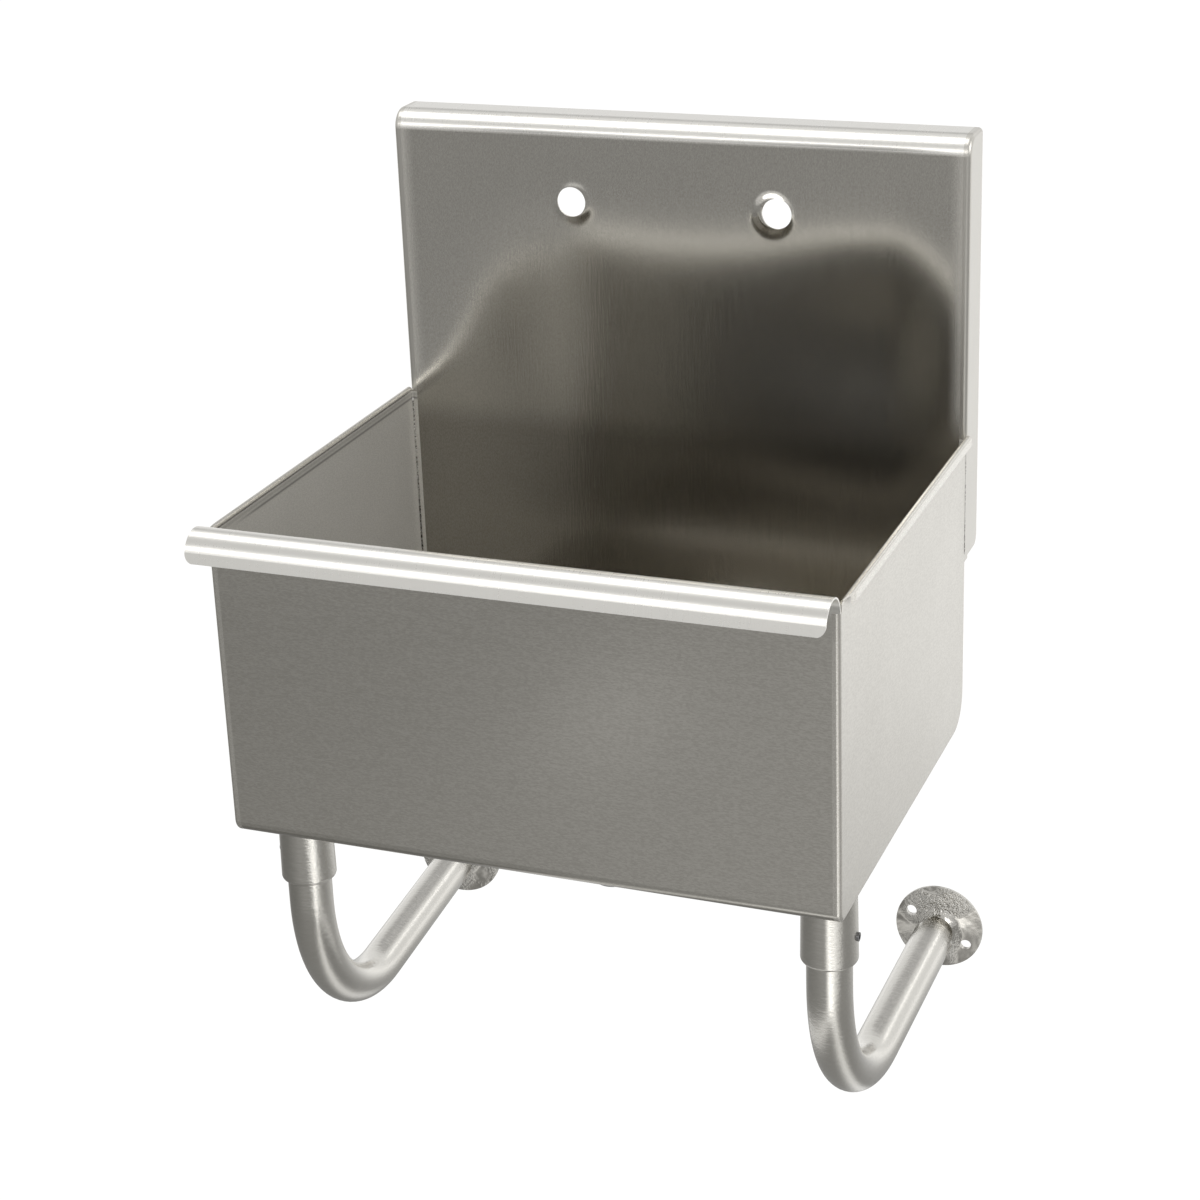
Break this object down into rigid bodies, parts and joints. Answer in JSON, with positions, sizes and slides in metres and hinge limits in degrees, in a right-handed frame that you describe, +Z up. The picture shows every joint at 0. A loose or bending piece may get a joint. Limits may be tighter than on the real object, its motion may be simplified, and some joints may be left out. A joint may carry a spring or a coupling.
{
  "type": "wall-mounted hand sink",
  "caption": "Wall-hung stainless hand sink with a deep square bowl, high back splash with tap holes, rolled front rim and bent tube legs with adjustable wall feet.",
  "frame": {"origin": "on the wall plane, at the middle of the sink's width and the height of its rim line", "axes": "+X to the right of a user facing the sink, +Y into the wall, +Z up"},
  "size_m": [0.6179, 0.5029, 0.8665],
  "materials": {
    "sheet_steel": "fine horizontal grain, welds ground and polished",
    "bracket_steel": "mill finish",
    "leg_steel": "satin, polished round the tube",
    "foot_steel": "polished stainless",
    "screw_steel": "dark machined",
    "drain_steel": "polished stainless",
    "plated_brass": "bright plated",
    "rubber": "matt black",
    "fibre": "plain fibre card"
  },
  "bodies": {
    "bracket": {"wall_bracket": "bracket_steel"},
    "sink": {"bowl_wrap": "sheet_steel", "side_panel_left": "sheet_steel", "side_panel_right": "sheet_steel", "splash_end_left": "sheet_steel", "splash_end_right": "sheet_steel", "hanger_channel": "bracket_steel", "socket_plate_left": "bracket_steel", "socket_plate_right": "bracket_steel", "leg_socket_left": "leg_steel", "leg_socket_right": "leg_steel", "drain_body": "drain_steel", "drain_gasket": "rubber", "friction_washer": "fibre", "lock_nut": "plated_brass", "tailpiece": "plated_brass", "tailpiece_washer": "rubber", "slip_nut": "plated_brass"},
    "right_leg": {"leg_tube_right": "leg_steel", "tube_insert_right": "leg_steel"},
    "right_foot": {"wall_flange_right": "foot_steel"},
    "right_stem": {"foot_stem_right": "foot_steel"},
    "right_set_screw": {"set_screw_right": "screw_steel"},
    "left_leg": {"leg_tube_left": "leg_steel", "tube_insert_left": "leg_steel"},
    "left_foot": {"wall_flange_left": "foot_steel"},
    "left_stem": {"foot_stem_left": "foot_steel"},
    "left_set_screw": {"set_screw_left": "screw_steel"},
    "basket": {"strainer_basket": "drain_steel"},
    "stopper_post": {"basket_post": "drain_steel", "stopper": "rubber"}
  },
  "joints": [
    {"name": "sink_lift", "type": "slide", "parent": "bracket", "child": "sink", "axis": [0, 0, 1], "range_m": [0, 0.02]},
    {"name": "right_leg_turn", "type": "hinge", "parent": "sink", "child": "right_leg", "pos_m": [0.2507, -0.3889, -0.34], "axis": [0, 0, 1], "range_deg": [-12, 12]},
    {"name": "right_foot_slide", "type": "slide", "parent": "right_leg", "child": "right_foot", "axis": [0, 1, 0], "range_m": [-0.01, 0.0127]},
    {"name": "right_stem_turn", "type": "hinge", "parent": "right_foot", "child": "right_stem", "pos_m": [0.2507, -0.3889, -0.545], "axis": [0, 1, 0], "range_deg": [-1440, 1810]},
    {"name": "right_set_screw_out", "type": "slide", "parent": "sink", "child": "right_set_screw", "axis": [1, 0, 0], "range_m": [0, 0.003]},
    {"name": "left_leg_turn", "type": "hinge", "parent": "sink", "child": "left_leg", "pos_m": [-0.2507, -0.3889, -0.34], "axis": [0, 0, 1], "range_deg": [-16.1, 7.9]},
    {"name": "left_foot_slide", "type": "slide", "parent": "left_leg", "child": "left_foot", "axis": [-0.0715, 0.9974, 0], "range_m": [-0.01, 0.0127]},
    {"name": "left_stem_turn", "type": "hinge", "parent": "left_foot", "child": "left_stem", "pos_m": [-0.2507, -0.3889, -0.545], "axis": [-0.0715, 0.9974, 0], "range_deg": [-1440, 1810]},
    {"name": "left_set_screw_out", "type": "slide", "parent": "sink", "child": "left_set_screw", "axis": [-1, 0, 0], "range_m": [0, 0.003]},
    {"name": "basket_lift", "type": "slide", "parent": "sink", "child": "basket", "axis": [0, 0, 1], "range_m": [0, 0.05]},
    {"name": "stopper_lift", "type": "slide", "parent": "basket", "child": "stopper_post", "axis": [0, 0, 1], "range_m": [0, 0.008]}
  ],
  "couplings": [
    {"joint": "right_stem_turn", "follows": "right_foot_slide", "rad_per_m": 2473.7},
    {"joint": "left_stem_turn", "follows": "left_foot_slide", "rad_per_m": 2473.7}
  ]
}
